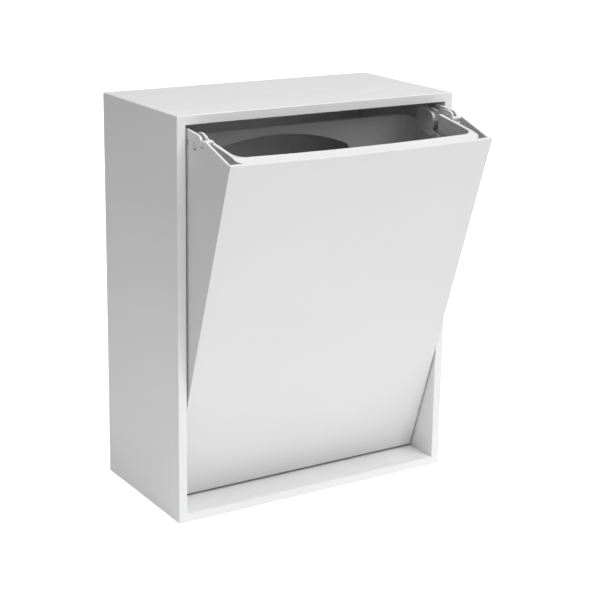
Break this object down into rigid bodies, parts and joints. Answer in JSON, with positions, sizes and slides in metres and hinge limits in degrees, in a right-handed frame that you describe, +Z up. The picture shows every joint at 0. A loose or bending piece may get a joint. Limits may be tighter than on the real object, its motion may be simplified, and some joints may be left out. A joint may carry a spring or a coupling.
{
  "type": "waste sorting bin",
  "caption": "Slim wall-hung or free-standing waste-sorting box whose tip-out front carries a bin with a rear cut-out and a hinged frame for a bag.",
  "frame": {"origin": "centre of the cabinet's underside, which the box stands on", "axes": "+Z up, +Y from the open front to the wall behind, +X to the right as seen from the front"},
  "size_m": [0.32, 0.244, 0.41],
  "materials": {
    "cabinet_plastic": "satin, fine moulded texture",
    "panel_plastic": "matt",
    "front_plastic": "satin, fine moulded texture",
    "shell_plastic": "satin",
    "frame_plastic": "satin",
    "bush_plastic": "smooth",
    "steel": "zinc plated",
    "rubber": "matt"
  },
  "bodies": {
    "cabinet": {"cabinet_shell": "cabinet_plastic", "rear_panel": "panel_plastic", "rear_panel_screws": "steel", "wall_hanger_left": "steel", "wall_hanger_right": "steel", "wall_hanger_rivets": "steel", "pivot_pin_left": "steel", "pivot_pin_right": "steel", "stop_buffer_left": "rubber", "stop_buffer_right": "rubber", "closing_buffer_left": "rubber", "closing_buffer_right": "rubber", "floor_glide_left": "bush_plastic", "floor_glide_right": "bush_plastic"},
    "front": {"tilt_front": "front_plastic", "pivot_bush_left": "bush_plastic", "pivot_bush_right": "bush_plastic", "bin_rear_shell": "shell_plastic", "rear_shell_screws": "steel", "bag_frame_pin_left": "steel", "bag_frame_pin_right": "steel"},
    "bag_frame": {"bag_frame": "frame_plastic"}
  },
  "joints": [
    {"name": "front_tilt", "type": "hinge", "parent": "cabinet", "child": "front", "pos_m": [0, -0.0585, 0.129], "axis": [-1, 0, 0], "range_deg": [0, 18.25]},
    {"name": "bag_frame_lift", "type": "hinge", "parent": "front", "child": "bag_frame", "pos_m": [0, -0.06764, 0.38344], "axis": [-1, 0, 0], "range_deg": [0, 3]}
  ]
}
